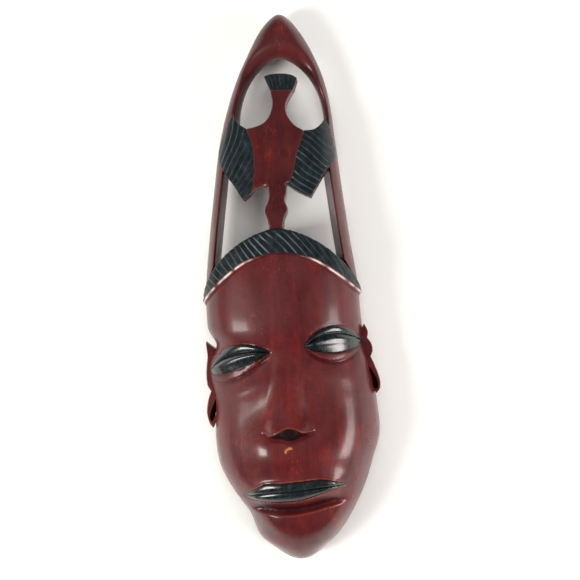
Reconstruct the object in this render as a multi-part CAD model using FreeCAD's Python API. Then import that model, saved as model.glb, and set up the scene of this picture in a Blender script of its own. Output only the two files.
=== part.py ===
"""Carved wooden wall mask with a bird crest, in millimetres.

The mask is cut from one half-round log, flat at the back. Its front is a long bow, pointed at the chin and
at the crest. Below the crown the log is hollowed from behind into a head. Above the crown only its two side
walls stay, as an arch, and a bird hangs head down between them. The parts that a carver finishes apart, such
as the hair, eyes, lips and wings, are solids of their own that meet the wood around them face to face.

Frame: +Z up, the front looks along -Y, and the flat back lies in Y = 0. The origin is the nail in the wall
that the hanger ring hooks over. Outlines are drawn as (across, height above the chin tip).
"""

import FreeCAD
import Part

import math
import os

from FreeCAD import Vector

# ---------------------------------------------------------------------------------------------------------
# Driving dimensions
# ---------------------------------------------------------------------------------------------------------
HEIGHT = 500.0          # chin tip to crest tip
NAIL_HEIGHT = 481.0     # the wall nail, above the chin tip
WALL = 11.0             # wood left around the hollow of the head
CROWN_WALL = 12.0       # wood left above the hollow, under the crown
CHIN_SOLID = 20.0       # height of solid wood at the chin, under the hollow

BIRD_THICK = 16.0       # the bird is a bowed plank of this thickness
WING_BACK = -14.0       # the wings stop this far in front of the wall
WING_PROUD = 1.5        # how far the wings stand out of the arch
HAIR_PROUD = 2.5        # how far the hair stands out of the forehead
HAIR_SINK = 5.0         # how deep the hair reaches into the head
EYE_PROUD = 1.5
EYE_SINK = 5.0
LIP_PROUD = 2.0
LIP_SINK = 4.0

# The log from chin to crest: height, half width, lean of its centre line, depth, squareness of its section.
BLANK = [
    (0.0, 0.0, 0.0, 0.0, 2.0),
    (12.5, 23.0, -1.0, 30.0, 2.1),
    (25.0, 36.0, -1.0, 41.0, 2.2),
    (47.0, 47.8, 2.0, 52.0, 2.3),
    (69.0, 61.0, -0.5, 58.0, 2.35),
    (91.0, 70.0, -2.0, 62.0, 2.4),
    (115.0, 75.0, 0.0, 65.0, 2.4),
    (150.0, 72.5, 0.0, 64.0, 2.4),
    (178.0, 71.5, -5.0, 62.0, 2.4),
    (197.0, 68.5, -5.0, 63.0, 2.4),
    (216.0, 70.5, -8.0, 65.0, 2.5),
    (249.0, 69.5, -8.8, 64.0, 2.6),
    (292.0, 64.2, -9.3, 60.5, 2.8),
    (336.0, 58.6, -8.8, 54.0, 3.0),
    (380.0, 53.0, -7.8, 46.0, 3.0),
    (419.0, 45.9, -4.9, 38.5, 2.8),
    (441.0, 39.4, -3.5, 35.0, 2.6),
    (463.0, 29.8, -2.5, 32.0, 2.4),
    (485.0, 17.4, -2.4, 26.0, 2.2),
    (497.0, 6.2, -1.8, 15.0, 2.0),
    (500.0, 0.0, -1.8, 0.0, 2.0),
]
ROWS = 44               # sections along the log
COLUMNS = 33            # points across each section
TIP = 0.018             # share of the log's run left off each tip, where its sections vanish

# Crown arc, which parts the head from the crest, and the hairline under it.
CROWN_MID = -7.5
CROWN_FOOT = 240.0
CROWN_RISE = 59.0
CROWN_HALF = 69.0
CROWN_POWER = 1.6
FOOT_FALL = 6.0         # how much the seam drops from the arc's foot out to the side
HAIRLINE_MID = -6.0
HAIRLINE_TOP = 278.0
HAIRLINE_FALL = 0.0793   # how fast the hairline drops to the sides
HAIRLINE_POWER = 1.5    # how round its top is

# The face, in relief on the log: (across, height, half width, half height, rise).
SWELLS = [
    (-2.0, 98.0, 42.0, 26.0, 5.0),      # muzzle
    (0.0, 38.0, 26.0, 17.0, 5.0),       # chin
    (-50.0, 125.0, 26.0, 42.0, 3.0),    # left cheek
    (54.0, 132.0, 26.0, 42.0, 3.0),     # right cheek
    (-44.0, 184.0, 36.0, 20.0, -5.0),   # left eye socket
    (41.0, 196.0, 34.0, 19.0, -5.0),    # right eye socket
    (-3.0, 190.0, 17.0, 22.0, -2.0),    # saddle of the nose
]
NOSE_TOP = 200.0
NOSE_TIP = 129.0
NOSE_BASE = 118.0
NOSE_MID = -2.5
NOSE_HALF_TOP = 6.0
NOSE_HALF_TIP = 20.0
NOSE_RISE = 14.0

# Eyes: both corners, and the lines of the lid's top, the lid's edge and the eyeball's foot between them.
LEFT_EYE = {
    "corners": [(-73.0, 176.5), (-17.0, 193.5)],
    "lid_top": [(-66.0, 189.0), (-56.0, 197.5), (-44.0, 200.5), (-30.0, 198.5)],
    "lid_edge": [(-64.0, 182.5), (-53.0, 189.0), (-42.5, 193.0), (-30.0, 195.0)],
    "bottom": [(-64.5, 175.8), (-52.0, 179.0), (-42.0, 182.0), (-30.0, 187.7)],
}
RIGHT_EYE = {
    "corners": [(12.5, 198.0), (62.0, 198.3)],
    "lid_top": [(21.0, 207.0), (30.5, 212.4), (41.5, 214.3), (52.0, 211.3)],
    "lid_edge": [(22.5, 203.9), (30.3, 206.2), (41.0, 207.7), (51.7, 205.1)],
    "bottom": [(22.2, 194.2), (32.8, 192.5), (43.5, 191.9), (54.3, 193.0)],
}
EYE_BACK = -16.0        # the eyes stop this far in front of the wall

# Lips: the line between them, and the outer edge of each.
MOUTH_LINE = [(-44.5, 69.0), (-16.0, 74.0), (1.0, 75.3), (16.0, 76.7), (44.5, 77.2)]
UPPER_LIP = [(-44.5, 69.0), (-27.0, 80.5), (4.5, 83.0), (25.5, 83.5), (44.5, 77.2)]
LOWER_LIP = [(-44.5, 69.0), (-26.0, 64.8), (-11.5, 64.4), (4.0, 66.0), (26.5, 73.3), (44.5, 77.2)]

# Ears, seen from the front. The slot is the stretched hole in the lobe.
LEFT_EAR = [(-62.0, 196.0), (-71.0, 196.5), (-74.5, 199.0), (-79.0, 202.5), (-78.0, 190.0), (-79.5, 175.0),
            (-78.5, 163.0), (-75.5, 158.0), (-79.0, 148.0), (-79.8, 138.0), (-78.0, 129.0), (-75.0, 125.0),
            (-70.5, 134.0), (-60.0, 150.0)]
LEFT_SLOT = [(-71.5, 151.5), (-75.3, 143.0), (-77.6, 134.5), (-75.8, 131.5), (-72.5, 139.0)]
RIGHT_EAR = [(54.0, 206.0), (61.5, 209.0), (64.0, 213.0), (67.3, 207.0), (66.9, 201.5), (70.5, 195.5),
             (71.2, 189.5), (70.2, 184.5), (73.2, 176.5), (77.0, 163.5), (76.8, 156.0), (73.5, 152.0),
             (69.0, 156.0), (60.0, 166.0)]
RIGHT_SLOT = [(70.0, 175.0), (73.5, 168.0), (74.5, 160.0), (73.0, 156.0), (71.0, 163.0)]
EAR_FRONT = -34.0
EAR_BACK = -14.0

# The arch: how far its inner faces stand in from the log's outline, and the opening's heights.
ARCH_INSET = 10.5
OPENING_TOP = 456.5
OPENING_SIDES = [180.0, 230.0, 270.0, 300.0, 340.0, 380.0, 410.0, 430.0]

# The bird, as edges that follow each other round. Each edge is a smooth line through its points.
TAIL = [
    [(-15.3, 436.7), (-10.6, 438.3), (0.0, 438.6), (9.2, 437.0), (13.7, 434.3)],
    [(13.7, 434.3), (11.9, 428.0), (9.7, 422.8)],
    [(9.7, 422.8), (0.0, 423.2), (-10.0, 423.8)],
    [(-10.0, 423.8), (-12.7, 429.7), (-15.3, 436.7)],
]
BODY = [
    [(-10.0, 423.8), (0.0, 423.2), (9.7, 422.8)],
    [(9.7, 422.8), (6.3, 417.3), (3.6, 411.4), (3.0, 406.7), (4.3, 400.6), (8.0, 394.0), (12.5, 389.5), (18.5, 386.0)],
    [(18.5, 386.0), (15.5, 375.2), (11.8, 365.9), (9.1, 351.9), (5.5, 340.5)],
    [(5.5, 340.5), (2.0, 338.8)],
    [(2.0, 338.8), (1.5, 330.2), (0.0, 324.5)],
    [(0.0, 324.5), (-13.9, 324.7)],
    [(-13.9, 324.7), (-13.3, 329.8), (-13.7, 334.9), (-16.4, 337.5)],
    [(-16.4, 337.5), (-22.5, 336.8), (-28.0, 333.0)],
    [(-28.0, 333.0), (-26.6, 342.1), (-25.6, 351.3), (-25.5, 363.1), (-27.1, 375.0), (-32.1, 390.0)],
    [(-32.1, 390.0), (-23.3, 391.4), (-16.2, 394.5), (-12.0, 399.1), (-9.5, 404.9), (-8.2, 412.1), (-10.0, 423.8)],
]
BEAK = [
    [(0.0, 324.5), (2.9, 316.4), (0.4, 307.3), (-1.0, 294.0)],
    [(-1.0, 294.0), (-12.5, 294.0)],
    [(-12.5, 294.0), (-14.2, 307.3), (-16.9, 316.1), (-13.9, 324.7)],
    [(-13.9, 324.7), (0.0, 324.5)],
]
LEFT_WING = [
    [(-32.1, 390.0), (-27.1, 375.0), (-25.5, 363.1), (-25.6, 351.3), (-26.6, 342.1), (-28.0, 333.0)],
    [(-28.0, 333.0), (-36.0, 326.0)],
    [(-36.0, 326.0), (-44.4, 339.9), (-51.8, 350.2), (-58.3, 362.3), (-60.8, 373.5)],
    [(-60.8, 373.5), (-57.0, 382.0), (-50.6, 395.1), (-44.5, 406.2)],
    [(-44.5, 406.2), (-42.1, 399.5), (-38.3, 394.6), (-32.1, 390.0)],
]
RIGHT_WING = [
    [(18.5, 386.0), (27.2, 387.1), (34.2, 393.2), (37.7, 400.3)],
    [(37.7, 400.3), (40.7, 388.8), (43.7, 377.6), (45.6, 364.6)],
    [(45.6, 364.6), (42.0, 357.3), (36.1, 349.5), (30.2, 339.9), (22.6, 326.5)],
    [(22.6, 326.5), (16.4, 329.4), (9.7, 333.2), (2.0, 338.8)],
    [(2.0, 338.8), (5.5, 340.5)],
    [(5.5, 340.5), (9.1, 351.9), (11.8, 365.9), (15.5, 375.2), (18.5, 386.0)],
]

# The hanger in the back of the crest tip: a bent strap that holds a D ring, and the screw through it.
RECESS_HALF = 8.0
RECESS_LOW = -19.5
RECESS_HIGH = 6.0
RECESS_DEPTH = 7.0
RING_WIRE = 1.1         # radius
RING_HALF = 5.8         # to the middle of the wire
RING_LEG = 4.0          # straight part of each side
NAIL_R = 1.5
PIVOT_Z = -(RING_LEG + RING_HALF - RING_WIRE - NAIL_R)
STRAP_THICK = 1.0
STRAP_HALF = 4.0
STRAP_LENGTH = 8.4
KNUCKLE_R = 2.2
KNUCKLE_CLEARANCE = 0.06
PIVOT_Y = -RECESS_DEPTH + KNUCKLE_R + 0.1
SCREW_DROP = 5.3        # under the pivot
SCREW_R = 1.4
SCREW_LENGTH = 11.0
SCREW_HEAD_R = 2.7
SCREW_HEAD_HIGH = 1.8

FAR = 120.0             # past the log in any direction


# ---------------------------------------------------------------------------------------------------------
# Outlines
# ---------------------------------------------------------------------------------------------------------
def point(across, height, y=0.0):
    return Vector(across, y, height - NAIL_HEIGHT)


def smooth_edge(points, y=0.0):
    vectors = [point(x, h, y) for x, h in points]
    if len(vectors) == 2:
        return Part.makeLine(*vectors)
    curve = Part.BSplineCurve()
    curve.interpolate(vectors)
    return curve.toShape()


def prism(edges, front=-FAR, back=10.0):
    """A closed outline, cut straight through from front to back."""
    wire = Part.Wire([smooth_edge(points, front) for points in edges])
    return Part.Face(wire).extrude(Vector(0, back - front, 0))


def box(x, y, z):
    return Part.makeBox(x[1] - x[0], y[1] - y[0], z[1] - z[0], Vector(x[0], y[0], z[0]))


# ---------------------------------------------------------------------------------------------------------
# The log
# ---------------------------------------------------------------------------------------------------------
def run_of(height):
    """Height as a share that slows towards both tips, so that they come out round."""
    return math.acos(1.0 - 2.0 * height / HEIGHT) / math.pi


def height_at(run):
    return HEIGHT * (1.0 - math.cos(math.pi * run)) / 2.0


STATIONS = [(run_of(row[0]),) + row[1:] for row in BLANK]


def station(run):
    """Half width, lean, depth and squareness at a share of the run, on smooth curves through the table."""
    last = len(STATIONS) - 1
    k = max(i for i in range(last) if STATIONS[i][0] <= run)
    a, b = STATIONS[k], STATIONS[k + 1]
    before, after = STATIONS[max(k - 1, 0)], STATIONS[min(k + 2, last)]
    span = b[0] - a[0]
    t = (run - a[0]) / span
    values = []
    for i in range(1, 5):
        slope_a = (b[i] - before[i]) / (b[0] - before[0]) * span
        slope_b = (after[i] - a[i]) / (after[0] - a[0]) * span
        values.append(
            a[i] * (1 + 2 * t) * (1 - t) ** 2 + slope_a * t * (1 - t) ** 2
            + b[i] * t * t * (3 - 2 * t) + slope_b * t * t * (t - 1)
        )
    return values


def swell(x, h, mid, height, half, half_height, rise):
    return rise * math.exp(-((x - mid) / half) ** 2 * 1.5 - ((h - height) / half_height) ** 2 * 1.5)


def nose(x, h):
    """A ridge that widens down to the tip and breaks off under it."""
    if h > NOSE_TOP or h < NOSE_BASE:
        return 0.0
    down = min(1.0, (NOSE_TOP - h) / (NOSE_TOP - NOSE_TIP))
    half = NOSE_HALF_TOP + (NOSE_HALF_TIP - NOSE_HALF_TOP) * down ** 1.5
    across = max(0.0, 1.0 - abs((x - NOSE_MID) / half) ** 1.6)
    under = min(1.0, (h - NOSE_BASE) / (NOSE_TIP - NOSE_BASE))
    return NOSE_RISE * down ** 1.3 * across * under ** 0.7


def relief(x, h):
    return nose(x, h) + sum(swell(x, h, *s) for s in SWELLS)


def surface_grid(side, front, carved):
    """Points of the log's front, drawn in by side and front, with or without the relief of the face."""
    grid = []
    for i in range(ROWS):
        run = TIP + (1.0 - 2.0 * TIP) * i / (ROWS - 1)
        h = height_at(run)
        half, lean, depth, square = station(run)
        half = max(half - side, 1.5)
        depth = max(depth - front, 1.5)
        row = []
        for j in range(COLUMNS):
            angle = math.pi * j / (COLUMNS - 1)
            c, s = math.cos(angle), math.sin(angle)
            x = lean + half * math.copysign(abs(c) ** (2 / square), c)
            y = -depth * abs(s) ** (2 / square) if 0 < j < COLUMNS - 1 else 0.0
            if carved:
                y -= relief(x, h) * s ** 2
            row.append(point(x, h, y))
        grid.append(row)
    return grid


def log(side=0.0, front=0.0, carved=True):
    """The log as a solid: its bowed front, its flat back and the two small flats at its tips."""
    skin = Part.BSplineSurface()
    skin.interpolate(surface_grid(side, front, carved))
    bowed = skin.toShape()
    edges = bowed.Edges
    rims = [e for e in edges if all(abs(v.y) < 1e-6 for v in e.discretize(9))]
    ends = [e for e in edges if not any(e.isSame(r) for r in rims)]
    faces = [bowed]
    closing = []
    for end in ends:
        chord = Part.makeLine(end.firstVertex().Point, end.lastVertex().Point)
        closing.append(chord)
        faces.append(Part.Face(Part.Wire([end, chord])))
    faces.append(Part.Face(Part.Wire(Part.__sortEdges__(rims + closing))))
    shell = Part.makeShell(faces)
    shell.sewShape()
    solid = Part.makeSolid(shell)
    if solid.Volume < 0:
        solid.reverse()
    return solid


def arc_points(lower=0.0):
    """The crown arc, or one that lies that much lower."""
    points = []
    for i in range(17):
        angle = math.pi * (1.0 - i / 16)
        across = math.copysign(abs(math.cos(angle)) ** (2 / CROWN_POWER), math.cos(angle))
        up = math.sin(angle) ** (2 / CROWN_POWER)
        points.append((CROWN_MID + (CROWN_HALF - lower) * across, CROWN_FOOT + (CROWN_RISE - lower) * up))
    return points


def under_crown():
    """All that lies under the crown arc: the head."""
    arc = arc_points()
    low, foot = -20.0, CROWN_FOOT - FOOT_FALL
    corners = [arc[-1], (FAR, foot), (FAR, low), (-FAR, low), (-FAR, foot), arc[0]]
    return prism([arc] + [list(pair) for pair in zip(corners, corners[1:])])


def hollow_prism():
    arc = arc_points(CROWN_WALL)
    corners = [arc[-1], (arc[-1][0], CHIN_SOLID), (arc[0][0], CHIN_SOLID), arc[0]]
    return prism([arc] + [list(pair) for pair in zip(corners, corners[1:])])


def hair_prism():
    """Between the crown arc and the hairline, out past the sides of the head."""
    line = []
    for i in range(9):
        x = FAR * (1.0 - i / 4)
        line.append((x, HAIRLINE_TOP - HAIRLINE_FALL * abs(x - HAIRLINE_MID) ** HAIRLINE_POWER))
    arc = arc_points()
    right, left = (FAR, CROWN_FOOT - FOOT_FALL), (-FAR, CROWN_FOOT - FOOT_FALL)
    return prism([arc, [arc[-1], right], [right, line[0]], line, [line[-1], left], [left, arc[0]]])


def lens(upper, lower, back=10.0):
    """Between two lines that share both their ends."""
    return prism([upper, lower], back=back)


def opening_prism():
    left, right = [], []
    for h in OPENING_SIDES:
        half, lean = station(run_of(h))[:2]
        left.append((lean - half + ARCH_INSET, h))
        right.append((lean + half - ARCH_INSET, h))
    mid = (left[-1][0] + right[-1][0]) / 2
    reach = right[-1][0] - mid
    top = [
        left[-1],
        (mid - 0.62 * reach, OPENING_TOP - 9.5),
        (mid, OPENING_TOP),
        (mid + 0.62 * reach, OPENING_TOP - 9.5),
        right[-1],
    ]
    return prism([left, top, right[::-1], [right[0], left[0]]])


# ---------------------------------------------------------------------------------------------------------
# The wooden pieces
# ---------------------------------------------------------------------------------------------------------
def one(shape):
    """The single solid a cut must leave."""
    solids = shape.Solids
    if len(solids) != 1:
        raise ValueError("left solids of %s" % [(round(s.Volume, 1), s.BoundBox) for s in solids])
    return solids[0]


def layer(proud, sink):
    """The outer layer of the log, from so far outside its surface to so far inside."""
    return log(-proud, -proud).cut(log(sink, sink))


def inlay(outline, proud, sink):
    return one(log(-proud, -proud).common(outline).cut(log(sink, sink)))


def make_ear(outline, slot, neighbours):
    """A leaf of wood on the side of the head and the eye's corner, with the stretched hole of the lobe."""
    leaf = prism([outline + outline[:1]], EAR_FRONT, EAR_BACK)
    leaf = leaf.cut(prism([slot + slot[:1]]))
    solids = sorted(leaf.cut(neighbours).Solids, key=lambda solid: solid.Volume)
    return solids[-1]


# ---------------------------------------------------------------------------------------------------------
# The hanger
# ---------------------------------------------------------------------------------------------------------
def cylinder_x(radius, half, y, z):
    return Part.makeCylinder(radius, 2 * half, Vector(-half, y, z), Vector(1, 0, 0))


def make_ring():
    """Round wire bent to a D. It hangs down from its straight bar, which lies in the knuckle."""
    low = PIVOT_Z - RING_LEG
    corners = [Vector(x, PIVOT_Y, z) for x, z in (
        (-RING_HALF, low), (-RING_HALF, PIVOT_Z), (RING_HALF, PIVOT_Z), (RING_HALF, low))]
    arc = Part.Arc(corners[3], Vector(0, PIVOT_Y, low - RING_HALF), corners[0]).toShape()
    section = Part.Wire([Part.makeCircle(RING_WIRE, corners[3], Vector(0, 0, 1))])
    bow = Part.Wire([arc]).makePipeShell([section], True, True)
    bar = cylinder_x(RING_WIRE, RING_HALF, PIVOT_Y, PIVOT_Z)
    legs = [Part.makeCylinder(RING_WIRE, RING_LEG, Vector(x, PIVOT_Y, low)) for x in (-RING_HALF, RING_HALF)]
    elbows = [Part.makeSphere(RING_WIRE, corner) for corner in corners[1:3]]
    return one(bar.multiFuse([bow] + legs + elbows).removeSplitter())


def make_screw():
    z = PIVOT_Z - SCREW_DROP
    seat = -RECESS_DEPTH + STRAP_THICK
    head = Part.makeCylinder(SCREW_HEAD_R, SCREW_HEAD_HIGH, Vector(0, seat, z), Vector(0, 1, 0))
    rim = [edge for edge in head.Edges if abs(edge.BoundBox.YMin - seat - SCREW_HEAD_HIGH) < 1e-6]
    head = head.makeFillet(SCREW_HEAD_HIGH * 0.6, rim[:1])
    slot = box((-SCREW_HEAD_R, SCREW_HEAD_R), (seat + SCREW_HEAD_HIGH * 0.5, 0), (z - 0.4, z + 0.4))
    shank = Part.makeCylinder(SCREW_R, SCREW_LENGTH, Vector(0, seat, z), Vector(0, -1, 0))
    point_ = Part.makeCone(SCREW_R, 0.2, 2 * SCREW_R, Vector(0, seat - SCREW_LENGTH, z), Vector(0, -1, 0))
    return one(head.cut(slot).fuse([shank, point_]))


def make_strap(screw):
    """A strip folded over the ring's bar: a flat tongue under the screw and a knuckle round the bar."""
    tongue = box((-STRAP_HALF, STRAP_HALF), (-RECESS_DEPTH, -RECESS_DEPTH + STRAP_THICK),
                 (PIVOT_Z - STRAP_LENGTH, PIVOT_Z))
    knuckle = cylinder_x(KNUCKLE_R, STRAP_HALF, PIVOT_Y, PIVOT_Z)
    bore = cylinder_x(RING_WIRE + KNUCKLE_CLEARANCE, STRAP_HALF + 1, PIVOT_Y, PIVOT_Z)
    return one(tongue.fuse(knuckle).cut(bore).cut(screw))


# ---------------------------------------------------------------------------------------------------------
# Everything in its place
# ---------------------------------------------------------------------------------------------------------
def make_parts():
    parts = {}
    whole = log()
    head = whole.common(under_crown())
    crest = whole.cut(under_crown())

    parts["hair_band"] = one(layer(HAIR_PROUD, HAIR_SINK).common(hair_prism()))
    for side, eye in (("left", LEFT_EYE), ("right", RIGHT_EYE)):
        outer, inner = eye["corners"]
        upper = [outer] + eye["lid_top"] + [inner]
        middle = [outer] + eye["lid_edge"] + [inner]
        lower = [outer] + eye["bottom"] + [inner]
        parts[side + "_eyelid"] = inlay(lens(upper, middle, EYE_BACK), EYE_PROUD, EYE_SINK)
        parts[side + "_eyeball"] = inlay(lens(middle, lower, EYE_BACK), EYE_PROUD, EYE_SINK)
    parts["upper_lip"] = inlay(lens(UPPER_LIP, MOUTH_LINE), LIP_PROUD, LIP_SINK)
    parts["lower_lip"] = inlay(lens(MOUTH_LINE, LOWER_LIP), LIP_PROUD, LIP_SINK)

    hollow = log(WALL, WALL, carved=False).common(hollow_prism())
    parts["face_shell"] = one(head.cut(hollow).cut(list(parts.values())))
    for side, outline, slot in (("left", LEFT_EAR, LEFT_SLOT), ("right", RIGHT_EAR, RIGHT_SLOT)):
        eye = [parts[side + "_eyelid"], parts[side + "_eyeball"]]
        parts[side + "_ear"] = make_ear(outline, slot, [head, parts["hair_band"]] + eye)

    plank = crest.cut(log(BIRD_THICK * 0.6, BIRD_THICK))
    parts["bird_tail"] = one(plank.common(prism(TAIL)))
    parts["bird_body"] = one(plank.common(prism(BODY)))
    parts["bird_beak"] = one(plank.common(prism(BEAK)))
    feathers = layer(WING_PROUD, BIRD_THICK).common(box((-FAR, FAR), (-FAR, WING_BACK), (-FAR * 4, FAR)))
    parts["left_wing"] = one(feathers.common(prism(LEFT_WING)))
    parts["right_wing"] = one(feathers.common(prism(RIGHT_WING)))

    screw = make_screw()
    parts["hanger_screw"] = screw
    parts["hanger_strap"] = make_strap(screw)
    parts["hanger_ring"] = make_ring()
    recess = box((-RECESS_HALF, RECESS_HALF), (-RECESS_DEPTH, 10.0), (RECESS_LOW, RECESS_HIGH))
    cuts = [opening_prism(), recess, screw, parts["left_wing"], parts["right_wing"]]
    parts["crest_frame"] = one(crest.cut(cuts))
    return parts


os.makedirs("parts", exist_ok=True)
for name, shape in make_parts().items():
    shape.exportStep("parts/%s.step" % name)
    print(name, shape.isValid(), round(shape.Volume / 1000, 1))
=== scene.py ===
import math

import bmesh
import bpy
import numpy as np
from mathutils import Matrix, Vector, noise


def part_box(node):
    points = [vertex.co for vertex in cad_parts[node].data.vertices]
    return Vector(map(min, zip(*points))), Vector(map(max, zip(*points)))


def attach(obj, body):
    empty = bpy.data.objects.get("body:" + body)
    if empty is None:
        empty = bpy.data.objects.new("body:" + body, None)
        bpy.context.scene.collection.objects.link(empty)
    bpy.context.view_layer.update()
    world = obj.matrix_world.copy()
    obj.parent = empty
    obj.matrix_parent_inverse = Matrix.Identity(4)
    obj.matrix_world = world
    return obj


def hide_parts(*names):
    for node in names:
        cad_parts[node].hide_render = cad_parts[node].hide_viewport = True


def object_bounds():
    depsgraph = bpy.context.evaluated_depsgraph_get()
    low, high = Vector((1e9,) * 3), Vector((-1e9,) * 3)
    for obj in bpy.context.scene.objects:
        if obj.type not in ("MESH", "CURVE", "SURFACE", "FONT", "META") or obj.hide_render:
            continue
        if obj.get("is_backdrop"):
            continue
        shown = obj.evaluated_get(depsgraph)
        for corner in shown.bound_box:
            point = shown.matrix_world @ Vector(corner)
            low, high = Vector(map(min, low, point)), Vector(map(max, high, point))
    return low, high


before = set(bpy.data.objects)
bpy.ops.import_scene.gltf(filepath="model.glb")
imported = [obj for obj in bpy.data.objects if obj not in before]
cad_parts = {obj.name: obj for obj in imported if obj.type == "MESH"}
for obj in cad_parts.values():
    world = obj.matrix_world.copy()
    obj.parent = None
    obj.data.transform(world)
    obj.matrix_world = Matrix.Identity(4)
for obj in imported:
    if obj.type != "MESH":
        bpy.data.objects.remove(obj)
cad_low, cad_high = (list(corner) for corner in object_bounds())
bpy.ops.object.select_all(action="DESELECT")

# ----------------------------------------------------------
# The head: the lower half of one half-round log of stained mahogany. The face is carved on its bowed front,
# the inside is gouged out from behind, and the flat rim lies against the wall. Lengths in this file's forms
# are millimetres: x across, y out of the wall (towards the viewer is negative), h up from the chin tip.
# ----------------------------------------------------------
MM = 0.001
HEIGHT = 500.0
CHIN_Z = cad_low[2] - 0.4 * MM                  # the carved chin is a little longer than its stand-in

# The log: height, half width, lean of its centre line, depth, squareness of its section.
LOG = np.array([
    (0.0, 0.0, 0.0, 0.0, 2.0),
    (12.5, 23.0, -1.0, 30.0, 2.1),
    (25.0, 36.8, -1.6, 41.0, 2.2),
    (47.0, 48.3, 1.5, 52.0, 2.3),
    (69.0, 61.0, -0.5, 58.0, 2.35),
    (91.0, 70.0, -2.0, 62.0, 2.4),
    (115.0, 75.0, 0.0, 65.0, 2.4),
    (150.0, 73.5, -0.5, 64.0, 2.4),
    (178.0, 74.5, -4.5, 62.0, 2.4),
    (197.0, 71.0, -5.0, 63.0, 2.4),
    (216.0, 70.5, -8.0, 65.0, 2.5),
    (249.0, 69.5, -8.8, 64.0, 2.6),
    (292.0, 64.2, -9.3, 60.5, 2.8),
    (336.0, 58.6, -8.8, 54.0, 3.0),
    (380.0, 53.0, -7.8, 46.0, 3.0),
    (419.0, 45.9, -4.9, 38.5, 2.8),
    (441.0, 39.4, -3.5, 35.0, 2.6),
    (463.0, 29.8, -2.5, 32.0, 2.4),
    (485.0, 17.4, -2.4, 26.0, 2.2),
    (497.0, 6.2, -1.8, 15.0, 2.0),
    (500.0, 0.0, -1.8, 0.0, 2.0),
])


def run_of(h):
    """Height as a share that slows towards both tips, so that they come out round."""
    return np.arccos(1.0 - 2.0 * np.clip(h, 0.0, HEIGHT) / HEIGHT) / math.pi


def through(knots, values, at):
    """A smooth curve through a few values."""
    at = np.clip(at, knots[0], knots[-1])
    k = np.clip(np.searchsorted(knots, at, side="right") - 1, 0, len(knots) - 2)
    before = np.maximum(k - 1, 0)
    after = np.minimum(k + 2, len(knots) - 1)
    span = knots[k + 1] - knots[k]
    t = (at - knots[k]) / span
    slope_a = (values[k + 1] - values[before]) / (knots[k + 1] - knots[before]) * span
    slope_b = (values[after] - values[k]) / (knots[after] - knots[k]) * span
    return (
        values[k] * (1 + 2 * t) * (1 - t) ** 2 + slope_a * t * (1 - t) ** 2
        + values[k + 1] * t * t * (3 - 2 * t) + slope_b * t * t * (t - 1)
    )


def section(h):
    """Half width, lean, depth and squareness of the log at a height."""
    runs = run_of(LOG[:, 0])
    return [through(runs, LOG[:, column], run_of(h)) for column in (1, 2, 3, 4)]


def depth(x, h):
    """How far the bare log's front stands out of the wall."""
    half, lean, deep, square = section(h)
    share = unit(np.abs(x - lean) / np.maximum(half, 0.01))
    return deep * (1.0 - share ** square) ** (1.0 / square)


def unit(value):
    """A share, held between 0 and 1."""
    return np.clip(value, 0.0, 1.0)


def bowed(side, square):
    """How far across the log's half width a point lies, from the cosine of its angle round the section."""
    return np.sign(side) * np.abs(side) ** (2 / square)


def soft(value, low, high):
    """0 below low, 1 above high, and smooth between them."""
    t = unit((value - low) / (high - low))
    return t * t * (3.0 - 2.0 * t)


def peak(value, width):
    """1 where the value is 0, falling away on both sides within about two widths."""
    return np.exp(-((value / width) ** 2))


def bump(x, h, mid, height, half, half_height, turn=0.0):
    """A round swelling, turned by some degrees."""
    c, s = math.cos(math.radians(turn)), math.sin(math.radians(turn))
    along = (x - mid) * c + (h - height) * s
    up = (h - height) * c - (x - mid) * s
    return np.exp(-1.5 * ((along / half) ** 2 + (up / half_height) ** 2))


class Eye:
    """An almond on the line between two corners, with its lid, ball and lower lid as bands across it."""

    def __init__(self, start, end, top, edge, foot, rim, skew):
        self.start, self.end = start, end
        self.top, self.edge, self.foot, self.rim = top, edge, foot, rim
        self.skew = skew

    def line(self, share):
        """Height of the line between the corners."""
        return self.start[1] + (self.end[1] - self.start[1]) * share

    def arch(self, share):
        """0 at both corners and 1 at the almond's fullest place."""
        share = unit(share) ** self.skew
        return 4.0 * share * (1.0 - share)

    def local(self, x, h):
        """Share along the almond, and height over its line in units of its arch."""
        share = (x - self.start[0]) / (self.end[0] - self.start[0])
        arch = np.where((share > 0) & (share < 1), self.arch(share), 0.0)
        return share, h - self.line(unit(share)), arch

    def curve(self, height):
        """The edge that rises this far over the line at its fullest place."""
        def at(share):
            x = self.start[0] + (self.end[0] - self.start[0]) * share
            return x, self.line(share) + height * self.arch(share)
        return at


LEFT_EYE = Eye((-75.5, 175.5), (-16.5, 194.0), 16.5, 8.5, -4.8, -11.5, 0.75)
RIGHT_EYE = Eye((12.0, 197.4), (65.0, 198.0), 16.8, 10.0, -6.0, -13.0, 1.0)

# The mouth: the line between the lips, the outer edge of each, and the crease over the chin.
MOUTH = {
    "line": [
        (-49.0, 67.6), (-32.0, 71.4), (-16.0, 74.0), (1.0, 75.3), (16.0, 76.7), (31.0, 77.6), (45.0, 77.4),
    ],
    "upper": [
        (-49.0, 67.6), (-36.0, 75.0), (-26.0, 80.8), (-12.0, 82.0), (4.0, 83.4), (25.0, 84.0), (45.0, 77.4),
    ],
    "lower": [
        (-49.0, 67.6), (-37.0, 66.0), (-26.0, 64.6), (-11.0, 64.5), (4.0, 66.0), (26.0, 73.0), (45.0, 77.4),
    ],
    "crease": [
        (-50.0, 59.0), (-30.0, 56.0), (-14.0, 55.0), (0.0, 55.6), (15.0, 58.0), (31.0, 61.4), (52.0, 62.5),
    ],
}
MOUTH = {name: np.array(points) for name, points in MOUTH.items()}


def mouth(name, x):
    """Height of one of the mouth's lines."""
    points = MOUTH[name]
    return through(points[:, 0], points[:, 1], x)


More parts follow.
